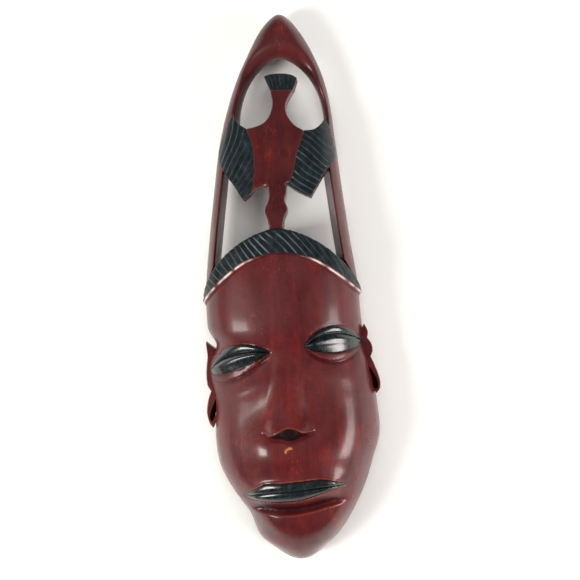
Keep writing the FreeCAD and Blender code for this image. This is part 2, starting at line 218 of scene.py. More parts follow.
NOSE_MID = -3.5
NOSE_TOP = 200.0
NOSE_TIP = 130.0
NOSE_OUT = 11.6
NOSE_EDGE = np.array([(
    -30.0, 127.0,
), (-25.0, 126.2), (-19.5, 123.4), (-11.0, 127.4), (-4.0, 130.6), (2.5, 129.6),
                      (9.0, 126.2), (16.0, 126.0), (24.0, 128.0)])
NOSE_FOOT = np.array([(
    -30.0, 126.6,
), (-25.0, 125.4), (-19.5, 121.8), (-10.0, 120.6), (-2.0, 118.8), (5.5, 121.4),
                      (11.0, 123.6), (16.0, 125.2), (24.0, 127.6)])


def nose(x, h):
    """A soft ridge that widens down to the tip, and a dark three-cornered underside cut back below it."""
    down = unit((NOSE_TOP - h) / (NOSE_TOP - NOSE_TIP))
    half = 12.0 + 12.5 * down ** 1.6
    across = unit(np.abs(x - NOSE_MID) / half)
    ridge = (0.5 + 0.5 * np.cos(math.pi * across)) ** 0.9
    rise = NOSE_OUT * (0.22 * soft(down, 0.0, 0.4) + 0.78 * down ** 1.7) * ridge
    for side in (-1.0, 1.0):
        rise = rise + 2.6 * bump(x, h, NOSE_MID + side * 13.5, 130.0, 6.5, 7.0)
    edge = through(NOSE_EDGE[:, 0], NOSE_EDGE[:, 1], x)
    foot = through(NOSE_FOOT[:, 0], NOSE_FOOT[:, 1], x)
    under = unit((h - foot) / np.maximum(edge - foot, 0.5))
    near = soft(24.0 - np.abs(x - NOSE_MID), 0.0, 5.0)
    rim = 0.9 * peak(h - edge - 0.8, 1.3) * near
    hollow = 1.4 * peak(h - foot + 1.0, 1.8) * near
    return rise * under ** 0.75 + rim - hollow


# The face in relief: rise, place across and up, half width, half height and turn in degrees.
FORMS = (
    (5.5, -2.0, 97.0, 44.0, 30.0, 0),           # muzzle
    (4.2, -24.0, 111.0, 19.0, 23.0, 0),         # muzzle, left of the nose
    (2.0, 24.0, 108.0, 24.0, 30.0, 0),          # muzzle, right of the nose
    (3.0, 50.0, 100.0, 20.0, 46.0, 6),          # right cheek down to the mouth
    (0.6, -54.0, 100.0, 16.0, 30.0, 0),         # left cheek
    (-2.2, -33.0, 143.0, 13.0, 26.0, -32),      # fold from the left nostril
    (-2.0, 27.0, 146.0, 13.0, 28.0, 30),        # fold from the right nostril
    (1.6, -46.0, 158.0, 26.0, 7.0, 22),         # left cheekbone
    (1.2, 43.0, 170.0, 24.0, 8.0, -8),          # right cheekbone
    (-4.5, -45.0, 186.0, 40.0, 19.0, 16),       # left eye socket
    (-4.5, 40.0, 200.0, 36.0, 18.0, 0),         # right eye socket
    (0.5, -40.0, 216.0, 36.0, 20.0, 12),        # left brow
    (0.5, 36.0, 228.0, 32.0, 20.0, 0),          # right brow
    (-1.5, -2.0, 186.0, 15.0, 18.0, 0),         # saddle of the nose
    (3.0, -2.0, 38.0, 34.0, 15.0, 0),           # chin
    (3.0, -20.0, 45.0, 17.0, 13.0, 0),          # left side of the chin
)


def forms(x, h):
    """The broad relief of the face over the bare log."""
    rise = 0.0
    for out, *place in FORMS:
        rise = rise + out * bump(x, h, *place)
    for eye in (LEFT_EYE, RIGHT_EYE):
        share, over, arch = eye.local(x, h)
        mid = (eye.top + eye.rim) / 2
        reach = (eye.top - eye.rim) / 2
        inside = 1.0 - np.abs(over - mid * arch) / np.maximum(reach * arch + 1.5, 0.1)
        rise += 3.4 * unit(inside) ** 0.6 * np.minimum(arch * 1.6, 1.0)
    lip_line, crease = mouth("line", x), mouth("crease", x)
    within = soft(49.0 - np.abs(x + 0.5), 0.0, 16.0)
    rise += 4.5 * peak(h - lip_line, 11.0) * within
    fall = unit((mouth("lower", x) + 1.0 - h) / (mouth("lower", x) - crease))
    past = soft(h, crease - 4.0, crease + 0.5)
    rise -= 6.0 * fall * past * soft(48.0 - np.abs(x - 2.0), 0.0, 18.0)
    return rise


def cuts(x, h):
    """The fine cuts: beds of the eyes and lips, and the lower lids' sharp edges."""
    cut = 0.0 * x
    for eye in (LEFT_EYE, RIGHT_EYE):
        share, over, arch = eye.local(x, h)
        black = soft(over - eye.foot * arch, -0.8, 0.8) * soft(eye.top * arch - over, -0.8, 0.8)
        cut -= 3.6 * black * soft(arch, 0.0, 0.10)
        lid = soft(
            over, eye.rim * arch - 0.5, eye.rim * arch + 1.0,
        ) * soft(eye.foot * arch - over, -0.8, 0.8)
        cut += 1.6 * lid * soft(arch, 0.0, 0.3)
        cut -= 1.3 * peak(over - (eye.rim * arch - 1.4), 1.5) * soft(arch, 0.0, 0.5)
        cut -= 0.9 * peak(over - (eye.top * arch + 1.3), 1.2) * soft(arch, 0.0, 0.4)
    upper, lower = mouth("upper", x), mouth("lower", x)
    open_at = soft(upper - lower, 0.4, 3.0)
    bed = soft(h - lower, -0.8, 0.8) * soft(upper - h, -0.8, 0.8) * open_at
    cut -= 3.4 * bed
    cut += 0.9 * peak(h - upper - 1.3, 1.1) * soft(46.0 - np.abs(x), 0.0, 8.0)
    cut += nose(x, h)
    return cut


CROWN_MID = -7.5
CROWN_FOOT = 240.0
CROWN_RISE = 59.0
CROWN_HALF = 69.0
CROWN_POWER = 1.6
SEARCH_STEPS = 26                               # halvings, which leave far less than a hair


def crown(x):
    """Height of the arch at which the head ends and the openwork crest begins."""
    share = unit(np.abs(x - CROWN_MID) / CROWN_HALF)
    return CROWN_FOOT + CROWN_RISE * (1.0 - share ** CROWN_POWER) ** (1.0 / CROWN_POWER)


def height_on(line, turn, low, high):
    """Where the log's surface, at an angle across it, meets a line drawn on its front."""
    side = np.cos(turn)
    low, high = np.full_like(turn, low), np.full_like(turn, high)
    for _ in range(SEARCH_STEPS):
        middle = (low + high) / 2
        half, lean, deep, square = section(middle)
        over = middle > line(lean + half * bowed(side, square))
        high = np.where(over, middle, high)
        low = np.where(over, low, middle)
    return low


def temple(h, side):
    """A dip in the head's left side, over the ear."""
    return 5.0 * peak(h - 200.0, 9.0) * unit(-side) ** 2


def grid_piece(name, columns, rows):
    """A flat sheet of squares, its corners at 0 and 1, and how far along it each vertex lies."""
    bpy.ops.object.select_all(action="DESELECT")
    bpy.ops.mesh.primitive_grid_add(x_subdivisions=columns, y_subdivisions=rows, size=1, location=(0, 0, 0))
    piece = bpy.context.object
    piece.name = name
    places = read_points(piece)
    return piece, places[:, 0] + 0.5, places[:, 1] + 0.5


def read_points(piece):
    """Places of a piece's vertices."""
    places = np.empty(len(piece.data.vertices) * 3)
    piece.data.vertices.foreach_get("co", places)
    return places.reshape(-1, 3)


def write_points(piece, places):
    piece.data.vertices.foreach_set("co", places.ravel())
    piece.data.update()


def set_forms(piece, x, y, h):
    """Puts a piece's vertices at places given in millimetres from the chin."""
    write_points(piece, np.stack([x * MM, y * MM, h * MM + CHIN_Z], axis=1))


def get_forms(piece):
    """Places of a piece's vertices, in millimetres from the chin."""
    places = read_points(piece)
    return places[:, 0] / MM, places[:, 1] / MM, (places[:, 2] - CHIN_Z) / MM


def close_up(piece):
    """Merges doubles, fills the open edges and turns the faces outward."""
    bpy.context.view_layer.objects.active = piece
    bpy.ops.object.mode_set(mode="EDIT")
    bpy.ops.mesh.select_all(action="SELECT")
    bpy.ops.mesh.remove_doubles(threshold=0.02 * MM)
    bpy.ops.mesh.select_all(action="DESELECT")
    bpy.ops.mesh.select_mode(type="EDGE")
    bpy.ops.mesh.select_non_manifold()
    bpy.ops.mesh.edge_face_add()
    bpy.ops.mesh.select_all(action="SELECT")
    bpy.ops.mesh.normals_make_consistent(inside=False)
    bpy.ops.mesh.select_mode(type="VERT")
    bpy.ops.object.mode_set(mode="OBJECT")


def cut_with(piece, tool):
    """Cuts one closed piece with another, and takes the cutter away."""
    bpy.context.view_layer.objects.active = piece
    cut = piece.modifiers.new("cut", "BOOLEAN")
    cut.operation = "DIFFERENCE"
    cut.object = tool
    cut.solver = "EXACT"
    bpy.ops.object.modifier_apply(modifier=cut.name)
    bpy.data.objects.remove(tool)


def smooth_faces(piece, degrees):
    """Shades a piece smoothly, but for edges sharper than this."""
    bpy.ops.object.select_all(action="DESELECT")
    piece.select_set(True)
    bpy.context.view_layer.objects.active = piece
    bpy.ops.object.shade_smooth_by_angle(angle=math.radians(degrees))


def relax(piece, times):
    """Smooths a piece's surface, as sanding does."""
    bpy.context.view_layer.objects.active = piece
    bpy.ops.object.mode_set(mode="EDIT")
    bpy.ops.mesh.select_all(action="SELECT")
    bpy.ops.mesh.vertices_smooth(factor=0.5, repeat=times)
    bpy.ops.object.mode_set(mode="OBJECT")


def mark(piece, name, values):
    """Keeps a number on each vertex, for the finish to read."""
    layer = piece.data.attributes.get(name) or piece.data.attributes.new(name, "FLOAT", "POINT")
    layer.data.foreach_set("value", np.asarray(values, dtype=float))


def mark_edges(piece):
    """Marks how sharply the wood stands out at each vertex, which is where hands and cloths wear it."""
    shape = bmesh.new()
    shape.from_mesh(piece.data)
    shape.normal_update()
    sharp = np.zeros(len(shape.verts))
    for vert in shape.verts:
        turn = 0.0
        for edge in vert.link_edges:
            way = edge.other_vert(vert).co - vert.co
            if way.length > 1e-9:
                turn -= vert.normal.dot(way.normalized())
        sharp[vert.index] = turn / max(len(vert.link_edges), 1)
    near = [[edge.other_vert(vert).index for edge in vert.link_edges] for vert in shape.verts]
    for _ in range(2):
        sharp = np.array(
            [0.5 * sharp[i] + 0.5 * np.mean(sharp[list(n)]) if n else 0.0 for i, n in enumerate(near)],
        )
    shape.free()
    mark(piece, "edge", unit(sharp * 2.2))


head, across, along = grid_piece("head_carved", 250, 330)
LEDGE = 0.94                                    # where the front turns into the ledge on top of the head
FADE = 1.2                                      # how fast the carving dies out towards the sides
turn = math.pi * across
side = np.cos(turn)
crown_low = height_on(crown, turn, 200.0, 306.0)
climb = unit(along / LEDGE)
h = crown_low * climb ** 2 / (climb + 0.05) * 1.05
half, lean, deep, square = section(h)
x = lean + half * bowed(side, square)
x = x + temple(h, side)
y = -deep * np.abs(np.sin(turn)) ** (2 / square)
fade = np.sin(turn) ** FADE
y = y - (forms(x, h) + cuts(x, h)) * fade * soft(h, 2.0, 20.0)
edge_column = (across < 1e-6) | (across > 1.0 - 1e-6)
y = np.where(edge_column, 0.0, y)
x = np.where(edge_column, x - np.sign(side) * 1.0, x)
back = unit((along - LEDGE) / (1.0 - LEDGE))
y = y * (1.0 - back)
h = h - 1.0 * soft(back, 0.93, 1.0)
set_forms(head, x, y, h)
close_up(head)

# The hollow, a bowl whose outline follows the head's with about 11 mm of wood around it. Its surface keeps
# the long shallow scoops of the gouge.
bpy.ops.object.select_all(action="DESELECT")
bpy.ops.mesh.primitive_uv_sphere_add(segments=192, ring_count=120, radius=1, location=(0, 0, 0))
hollow = bpy.context.object
ball = read_points(hollow)
WALL = 11.0
CROWN_WALL = 13.0
CHIN_SOLID = 20.0
BOWL_MID = (-2.0, 135.0)
GOUGE = 11.0                                    # width of the gouge's scoops
SCOOP_LONG = 42.0
SCOOP_DEEP = 1.1
# Out from the middle of the bowl, as far as leaves its wall at every angle.
spread = np.sqrt(ball[:, 0] ** 2 + ball[:, 2] ** 2)
way_x = np.where(spread > 1e-6, ball[:, 0] / np.maximum(spread, 1e-6), 0.0)
way_h = np.where(spread > 1e-6, ball[:, 2] / np.maximum(spread, 1e-6), 1.0)
near, far = np.zeros_like(spread), np.full_like(spread, 220.0)
for _ in range(SEARCH_STEPS):
    reach = (near + far) / 2
    at_x, at_h = BOWL_MID[0] + way_x * reach, BOWL_MID[1] + way_h * reach
    half, lean, deep, square = section(at_h)
    inside = (np.abs(at_x - lean) < half - WALL) & (at_h > CHIN_SOLID) & (at_h < crown(at_x) - CROWN_WALL)
    near = np.where(inside, reach, near)
    far = np.where(inside, far, reach)
bowl_x = BOWL_MID[0] + way_x * near * spread
bowl_h = BOWL_MID[1] + way_h * near * spread
bowl_deep = np.maximum(section(bowl_h)[2] - WALL, 6.0)
fall = unit(1.0 - spread ** 3.4) ** (1 / 1.9)
scoop_x = (bowl_x + 200.0) / GOUGE
scoop_h = (bowl_h + 17.0 * np.sin(np.floor(scoop_x) * 2.4)) / SCOOP_LONG
scoop = np.abs(scoop_x % 1.0 - 0.5) ** 2 * 4.0 + 0.5 * np.abs(scoop_h % 1.0 - 0.5) ** 2 * 4.0
bowl_y = np.where(
    ball[:, 1] < 0, -bowl_deep * fall + SCOOP_DEEP * scoop * soft(spread, 1.0, 0.8), 6.0 * ball[:, 1],
)
set_forms(hollow, bowl_x, bowl_y, bowl_h)
close_up(hollow)
cut_with(head, hollow)
smooth_faces(head, 40.0)
mark_edges(head)
x, y, h = get_forms(head)
# Patches on cheeks and brows where the polish is rubbed dull.
dull = 1.0 * bump(x, h, -50.0, 150.0, 30.0, 34.0) + 0.5 * bump(x, h, -38.0, 232.0, 30.0, 34.0)
dull += 0.7 * bump(x, h, 44.0, 165.0, 26.0, 24.0) + 0.5 * bump(x, h, 40.0, 236.0, 24.0, 30.0)
mark(head, "dull", unit(dull))
# Painted shade: the wood is coloured darker under the nose, in the crease over the chin and in the grooves
# round the eyes.
edge = through(NOSE_EDGE[:, 0], NOSE_EDGE[:, 1], x)
foot = through(NOSE_FOOT[:, 0], NOSE_FOOT[:, 1], x)
under_nose = soft(19.0 - np.abs(x - NOSE_MID), 0.0, 5.0)
stain_and_painted_shade = soft(h, foot - 1.6, foot + 0.4) * soft(edge - h, -1.0, 0.2) * under_nose
stain_and_painted_shade = np.maximum(stain_and_painted_shade, 0.9 * peak(h - mouth("crease", x) - 2.6, 2.6) * soft(46.0 - np.abs(x), 0, 14))
for eye in (LEFT_EYE, RIGHT_EYE):
    share, over, arch = eye.local(x, h)
    stain_and_painted_shade = np.maximum(stain_and_painted_shade, 0.8 * peak(over - eye.foot * arch + 1.4, 1.2) * soft(arch, 0.0, 0.3))
    stain_and_painted_shade = np.maximum(stain_and_painted_shade, 0.5 * peak(over - eye.rim * arch + 1.8, 1.4) * soft(arch, 0.0, 0.6))
mark(head, "stain_and_painted_shade", np.where(y < -20.0, stain_and_painted_shade, 0.0))
# One fresh nick below the nose shows the orange wood.
NICK = np.array([(-6.7, 109.4), (-5.6, 111.4), (-3.6, 112.6), (-1.2, 112.7)])
away = np.full(len(x), 99.0)
for start, end in zip(NICK[:-1], NICK[1:]):
    way = end - start
    t = unit(((x - start[0]) * way[0] + (h - start[1]) * way[1]) / way.dot(way))
    away = np.minimum(away, np.hypot(x - start[0] - way[0] * t, h - start[1] - way[1] * t))
mark(head, "nick", np.where(y < -20.0, unit(1.0 - away), 0.0))


def linear(code):
    """A colour written as sRGB hex, in linear light."""
    parts = [int(code[i:i + 2], 16) / 255 for i in (0, 2, 4)]
    return [p / 12.92 if p <= 0.04045 else ((p + 0.055) / 1.055) ** 2.4 for p in parts] + [1.0]


def add_node(material, kind, inputs=(), out=None, stops=(), **settings):
    """Adds a node with its settings, fills its inputs and gives back one of its outputs. The inputs go in
    order or by name. Each is another node's output, a number or an sRGB hex colour, as is a ramp's stop."""
    node = material.node_tree.nodes.new("ShaderNode" + kind)
    for name, value in settings.items():
        setattr(node, name, value)
    for _ in stops[2:]:
        node.color_ramp.elements.new(0.5)
    for element, (place, value) in zip(node.color_ramp.elements if stops else (), stops):
        element.position = place
        element.color = linear(value) if isinstance(value, str) else (value, value, value, 1.0)
    in_order = [socket for socket in node.inputs if socket.enabled]
    for key, value in inputs.items() if isinstance(inputs, dict) else enumerate(inputs):
        socket = node.inputs[key] if isinstance(key, str) else in_order[key]
        if isinstance(value, bpy.types.NodeSocket):
            material.node_tree.links.new(value, socket)
        else:
            socket.default_value = linear(value) if isinstance(value, str) else value
    return node.outputs[out] if out else next((socket for socket in node.outputs if socket.enabled), None)


def new_material(name):
    """A material with no nodes in it yet."""
    material = bpy.data.materials.new(name)
    material.use_nodes = True
    material.node_tree.nodes.clear()
    return material


def clouds(material, size_mm, detail=4.0, rough=0.5, seed=0.0, tilt=0.0, distortion=0.0):
    """Cloudy unevenness, its features this many millimetres long across, into and up the wood."""
    place = add_node(material, "TexCoord", out="Object")
    scaled = add_node(material, "Mapping", {
        "Vector": place, "Location": (seed, seed * 0.7, seed * 1.3),
        "Rotation": (0.0, tilt, 0.0), "Scale": [1.0 / (size * MM) for size in size_mm],
    })
    return add_node(material, "TexNoise", {
        "Vector": scaled, "Scale": 1.0, "Detail": detail, "Roughness": rough, "Distortion": distortion,
    })


def mask_of(material, low, high, *pattern):
    """Black where a cloudy pattern is below one level, and white where it is above another."""
    return add_node(material, "ValToRGB", (clouds(material, *pattern),), stops=[(low, 0.0), (high, 1.0)])


def layer(material, under, over, mask, strength):
    """Lays one colour over another where a mask is white, and only this strongly."""
    amount = add_node(material, "Math", (mask, strength), operation="MULTIPLY")
    return add_node(material, "Mix", (amount, under, over), data_type="RGBA")


def give_surface(material, colour, gloss, height, strength, distance, **more):
    """The shader of a solid finish: its colour, its roughness, and small bumps this many metres high."""
    bumps = add_node(material, "Bump", {"Strength": strength, "Distance": distance, "Height": height})
    inputs = {"Base Color": colour, "Roughness": gloss, "Normal": bumps}
    inputs.update((name.replace("_", " "), value) for name, value in more.items())
    shader = add_node(material, "BsdfPrincipled", inputs)
    add_node(material, "OutputMaterial", (shader,))


def mahogany_colour(material):
    """Oxblood-stained mahogany: fibres run up the log, the stain sits unevenly, and dark pores show."""
    fibres = clouds(material, (0.9, 2.2, 34.0), 5.0, 0.62)
    figure = clouds(material, (13.0, 22.0, 95.0), 3.0, 0.55, 3.1, 0.05, 0.6)
    blotches = clouds(material, (30.0, 30.0, 44.0), 3.0, 0.6, 7.7, 0.4, 0.8)
    mottle = clouds(material, (11.0, 11.0, 13.0), 5.0, 0.65, 15.0, 0.3, 0.5)
    shares = [
        add_node(material, "Math", (pattern, share), operation="MULTIPLY")
        for pattern, share in ((fibres, 0.14), (figure, 0.46), (mottle, 0.40))
    ]
    mixed = add_node(material, "Math", (shares[0], shares[1]), operation="ADD")
    mixed = add_node(material, "Math", (mixed, shares[2]), operation="ADD")
    wood = add_node(
        material, "ValToRGB", (mixed,),
        stops=[(0.30, "30100F"), (0.42, "431315"), (0.52, "541718"), (0.61, "611D19"), (0.72, "742C1D")],
    )
    bruised = add_node(material, "ValToRGB", (blotches,), stops=[(0.40, 0.0), (0.66, 1.0)])
    wood = layer(material, wood, "4A2024", bruised, 0.55)
    pores = mask_of(material, 0.62, 0.72, (0.45, 0.9, 5.0), 2.0, 0.5, 11.0)
    wood = layer(material, wood, "2A0E10", pores, 0.35)
    return wood


def scuffs(material):
    """Small light scratches in a few directions, in loose groups."""
    patches = mask_of(material, 0.52, 0.66, (26.0, 26.0, 30.0), 2.0, 0.5, 21.0)
    total = None
    for tilt, size in ((0.55, (0.55, 3.0, 7.0)), (-0.8, (0.5, 3.0, 6.0)), (0.1, (0.9, 2.0, 1.6))):
        lines = mask_of(material, 0.70, 0.78, size, 1.0, 0.4, tilt * 9.0, tilt)
        total = lines if total is None else add_node(material, "Math", (total, lines), operation="MAXIMUM")
    return add_node(material, "Math", (total, patches), operation="MULTIPLY")


# Mahogany, sanded smooth, stained oxblood and rubbed up with wax polish. The polish gives the eye broad soft
# highlights with a thin clear layer over them, the fibres show as streaks, and edges wear to orange wood.
polished = new_material("mahogany_oxblood_polished")
wood = mahogany_colour(polished)
wear_and_painted_highlight = add_node(polished, "Attribute", out="Fac", attribute_name="edge")
patchy = clouds(polished, (6.0, 6.0, 9.0), 4.0, 0.6, 31.0)
patchy = add_node(polished, "Math", (patchy, 0.45), operation="ADD")
rubbed = add_node(polished, "Math", (wear_and_painted_highlight, patchy), operation="MULTIPLY")
rubbed = add_node(polished, "ValToRGB", (rubbed,), stops=[(0.12, 0.0), (0.45, 1.0)])
wood = layer(polished, wood, "9A4A30", rubbed, 0.65)
# Dark wood colour from one attribute: painted shade in the face's recesses and the ears' slots, and the
# deeper stain of the crest and the bird.
stain_and_painted_shade = add_node(polished, "Attribute", out="Fac", attribute_name="stain_and_painted_shade")
wood = layer(polished, wood, "12070A", stain_and_painted_shade, 0.97)
nick = add_node(polished, "Attribute", out="Fac", attribute_name="nick")
wood = add_node(polished, "Mix", (nick, wood, "CF8A4A"), data_type="RGBA")
scratched = scuffs(polished)
wood = layer(polished, wood, "B0603C", scratched, 0.55)
haze = clouds(polished, (18.0, 18.0, 26.0), 4.0, 0.6, 41.0)
gloss = add_node(polished, "ValToRGB", (haze,), stops=[(0.3, 0.24), (0.7, 0.42)])
gloss = add_node(polished, "Mix", (scratched, gloss, (0.6, 0.6, 0.6, 1.0)), data_type="RGBA")
dull = add_node(polished, "Attribute", out="Fac", attribute_name="dull")
gloss = add_node(polished, "Mix", (dull, gloss, (0.56, 0.56, 0.56, 1.0)), data_type="RGBA")
wood = layer(polished, wood, "7A4A48", dull, 0.22)
dulled = add_node(polished, "Math", (dull, 0.32), operation="MULTIPLY")
clear = add_node(polished, "Math", (0.34, dulled), operation="SUBTRACT")
fine = clouds(polished, (0.6, 1.2, 18.0), 4.0, 0.6)
broad = clouds(polished, (9.0, 9.0, 16.0), 2.0, 0.5, 51.0)
broad = add_node(polished, "Math", (broad, 2.5), operation="MULTIPLY")
relief = add_node(polished, "Math", (fine, broad), operation="ADD")
relief = add_node(polished, "Math", (relief, scratched), operation="SUBTRACT")
give_surface(
    polished, wood, gloss, relief, 0.30, 0.00022, IOR=1.5, Specular_IOR_Level=0.22, Coat_Roughness=0.17,
    Coat_IOR=1.5, Coat_Weight=clear,
)

head.data.materials.append(polished)
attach(head, "mask")
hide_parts("face_shell")

# ----------------------------------------------------------
# The hair, a raised band over the forehead, cut out of the same log. It steps up from the forehead in a
# bevel that carries a painted highlight, turns over the crown, and is scored with slanting V cuts and
# stained black.
# ----------------------------------------------------------
HAIRLINE_MID = -6.0
HAIRLINE_TOP = 278.0
HAIRLINE_FALL = 0.0793
HAIRLINE_POWER = 1.5
HAIR_PROUD = 2.6
HAIR_PITCH = 5.4


def hairline(x):
    """Height at which the forehead ends and the hair's bevel begins."""
    away = np.hypot(x - HAIRLINE_MID, 7.0) - 5.0
    return HAIRLINE_TOP - HAIRLINE_FALL * away ** HAIRLINE_POWER


def shingle(phase):
    """Depth share of cuts laid like shingles: each sinks slowly from a ridge and ends in a steep wall."""
    part = phase % 1.0
    return np.where(part < 0.84, part / 0.84, (1.0 - part) / 0.16)


def crest_of(phase):
    """1 along the ridges between cuts, and 0 away from them."""
    part = (phase + 0.04) % 1.0
    return unit(1.0 - np.minimum(part, 1.0 - part) / 0.10)


def wander(x, h, size, seed):
    """Slow unevenness of handwork, about -1 to 1."""
    return np.array([noise.noise(Vector((a / size, b / size, seed))) for a, b in zip(x, h)]) * 1.6


hair, across, around = grid_piece("hair_carved", 420, 72)
turn = math.pi * (0.004 + 0.992 * across)
side = np.cos(turn)
top = height_on(crown, turn, 200.0, 306.0)
foot = height_on(hairline, turn, 180.0, 300.0)
# Round the section: up the bevel, over the face of the band, back along the crown, and home inside the head.
# The bevel is a bare facet in the red wood, narrow over the middle of the forehead and wide at both sides.
half, lean, deep, square = section(foot)
log_x = lean + half * bowed(side, square)
bevel = (1.4 + 4.2 * soft(np.abs(log_x - HAIRLINE_MID), 8.0, 34.0)) / np.maximum(top - foot, 6.0)
path = np.array([0.0, 0.04, 0.16, 0.62, 0.66, 0.70, 0.88, 0.92, 1.0])
on_bevel = np.interp(around, path, [0.0, 0.0, 1.0, 1.0, 1.0, 1.0, 1.0, 1.0, 0.0])
on_face = np.interp(around, path, [0.0, 0.0, 0.0, 0.97, 1.0, 1.0, 1.0, 1.0, 0.0])
share = bevel * on_bevel + (1.0 - bevel) * on_face
proud = np.interp(
    around, path, [-4.0, -0.3, HAIR_PROUD, HAIR_PROUD + 0.3, HAIR_PROUD - 0.6, 0.0, 0.0, -3.0, -4.0],
)
upward = np.interp(around, path, [0.0, 0.0, 0.0, 0.0, 1.3, 1.8, 1.6, -3.0, 0.0])
inward = np.interp(around, path, [0.0, 0.0, 0.0, 0.0, 0.4, 2.6, 15.0, 16.0, 0.0])
h = foot + (top - foot) * share + upward
half, lean, deep, square = section(h - upward)
x = lean + (half + proud) * bowed(side, square)
fade = np.sin(turn) ** FADE
y = -(deep + proud) * np.abs(np.sin(turn)) ** (2 / square) - forms(x, h - upward) * fade
y = np.minimum(y + inward, -1.0)
black = soft(around, 0.15, 0.17) * (around < 0.9)
phase = (0.77 * x + 0.64 * h) / HAIR_PITCH + 0.5 * wander(x, h, 30.0, 3.0)
phase = phase + 0.35 * soft(x, 20.0, 60.0) * (x - 20.0) / HAIR_PITCH
uneven = np.clip(0.75 + 0.5 * wander(x, h, 9.0, 5.0), 0.25, 1.2)
cut = 0.95 * shingle(phase) * uneven * black
y = y + cut * fade
x = x - 0.8 * cut * np.sign(side) * np.abs(side) ** 3
h = h - 0.5 * cut * soft(around, 0.62, 0.68)
set_forms(hair, x, y, h)
mark(hair, "ridge", crest_of(phase) * uneven * black * (0.45 + 0.55 * soft(-x, -15.0, 30.0)))
mark(hair, "stain", black)
# Painted highlight: a pale broken line along the bevel, given as a colour through the edge mark.
bevel_painted_highlight = 1.2 * peak(around - 0.126, 0.014) * soft(np.abs(log_x - HAIRLINE_MID), 14.0, 32.0)
mark(hair, "edge", bevel_painted_highlight * np.clip(0.75 + 0.9 * wander(x, h, 6.0, 12.0), 0.05, 1.0))
close_up(hair)
smooth_faces(hair, 50.0)

# The same wood with a black spirit stain over it, waxed to a low sheen. It looks blue-black in the cuts; the
# ridges between the cuts are rubbed through to grey-brown, and the stain stops at the edges. Along the
# hair's bevel the bare wood carries a painted highlight.
blackened = new_material("mahogany_black_stained")
wood = mahogany_colour(blackened)
uneven = clouds(blackened, (5.0, 5.0, 8.0), 4.0, 0.6, 61.0)
stain = add_node(
    blackened, "ValToRGB", (uneven,), stops=[(0.30, "0B1114"), (0.55, "151F23"), (0.75, "203036")],
)
ridge = add_node(blackened, "Attribute", out="Fac", attribute_name="ridge")
breaks = add_node(
    blackened, "ValToRGB", (clouds(blackened, (7.0, 7.0, 7.0), 3.0, 0.6, 71.0),),
    stops=[(0.36, 0.15), (0.62, 1.0)],
)
bare = add_node(blackened, "Math", (ridge, breaks), operation="MULTIPLY")
stain = layer(blackened, stain, "878A84", bare, 0.34)
spots = mask_of(blackened, 0.66, 0.74, (1.1, 1.1, 1.6), 2.0, 0.5, 81.0)
stain = layer(blackened, stain, "6E7472", spots, 0.20)
# Pale colours along the marked edges: worn edges on the wings and tail, and a painted highlight on the
# hair's bevel.
wear_and_painted_highlight = add_node(blackened, "Attribute", out="Fac", attribute_name="edge")
stain = layer(blackened, stain, "A58F80", wear_and_painted_highlight, 0.30)
wood = layer(blackened, wood, "E6D2CB", wear_and_painted_highlight, add_node(blackened, "Math", (uneven, 0.35), operation="ADD"))
reach = add_node(blackened, "Attribute", out="Fac", attribute_name="stain")
coloured = add_node(blackened, "Mix", (reach, wood, stain), data_type="RGBA")
gloss = add_node(blackened, "ValToRGB", (uneven,), stops=[(0.3, 0.30), (0.7, 0.48)])
grain = clouds(blackened, (0.6, 1.2, 14.0), 4.0, 0.6)
give_surface(
    blackened, coloured, gloss, grain, 0.35, 0.0002, IOR=1.5, Specular_IOR_Level=0.22, Coat_Weight=0.06,
    Coat_Roughness=0.2,
)

hair.data.materials.append(blackened)
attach(hair, "mask")
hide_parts("hair_band")

# ----------------------------------------------------------
# The crest's arch: what is left of the log above the crown, once the opening is sawn and pared through it.
# Two deep uprights meet in a solid pointed tip. The back of the tip has a shallow pocket for the hanger.
# ----------------------------------------------------------
OPENING_TOP = 456.5
OPENING_TURN = 398.0                            # above this the opening rounds in to its top
OPENING_MID = -2.6
OPENING_HALF = 38.0
INSET_LEFT, INSET_RIGHT = 11.0, 9.3             # how much wood each upright keeps, lower down


def opening(h, side):
    """The opening's edge on either side: parallel to the log's outline below, rounding in above."""
    half, lean = section(h)[:2]
    high = unit((h - OPENING_TURN) / (OPENING_TOP - OPENING_TURN))
    rounded = OPENING_MID + side * OPENING_HALF * (1.0 - high ** 2) ** 0.6
    straight = lean + side * (half - np.where(side < 0, INSET_LEFT, INSET_RIGHT))
    return straight + (rounded - straight) * soft(h, 352.0, OPENING_TURN)


CREST_DARK = 0.22                               # the crest is stained a little deeper than the face
ARCH_COLUMNS = 440
arch, along, around = grid_piece("arch_carved", ARCH_COLUMNS, 110)
travel = np.linspace(-1.0, 1.0, ARCH_COLUMNS + 1)
side = np.where(travel < 0, -1.0, 1.0)
far = np.abs(travel)
foot_out = np.where(side < 0, crown(-75.0), crown(58.0)) - 1.5
foot_in = np.where(side < 0, crown(-61.0), crown(44.0)) - 1.5
out_h = HEIGHT - (HEIGHT - foot_out) * far ** 2 / (far + 0.06) * 1.06
in_h = OPENING_TOP - (OPENING_TOP - foot_in) * far ** 2 / (far + 0.16) * 1.16
half, lean = section(out_h)[:2]
out_x = lean + side * half
in_x = opening(in_h, side)
# Away from the opening, square to its edge.
way_x, way_h = np.gradient(in_h), -np.gradient(in_x)
length = np.hypot(way_x, way_h)
way_x, way_h = -way_x / length, -way_h / length
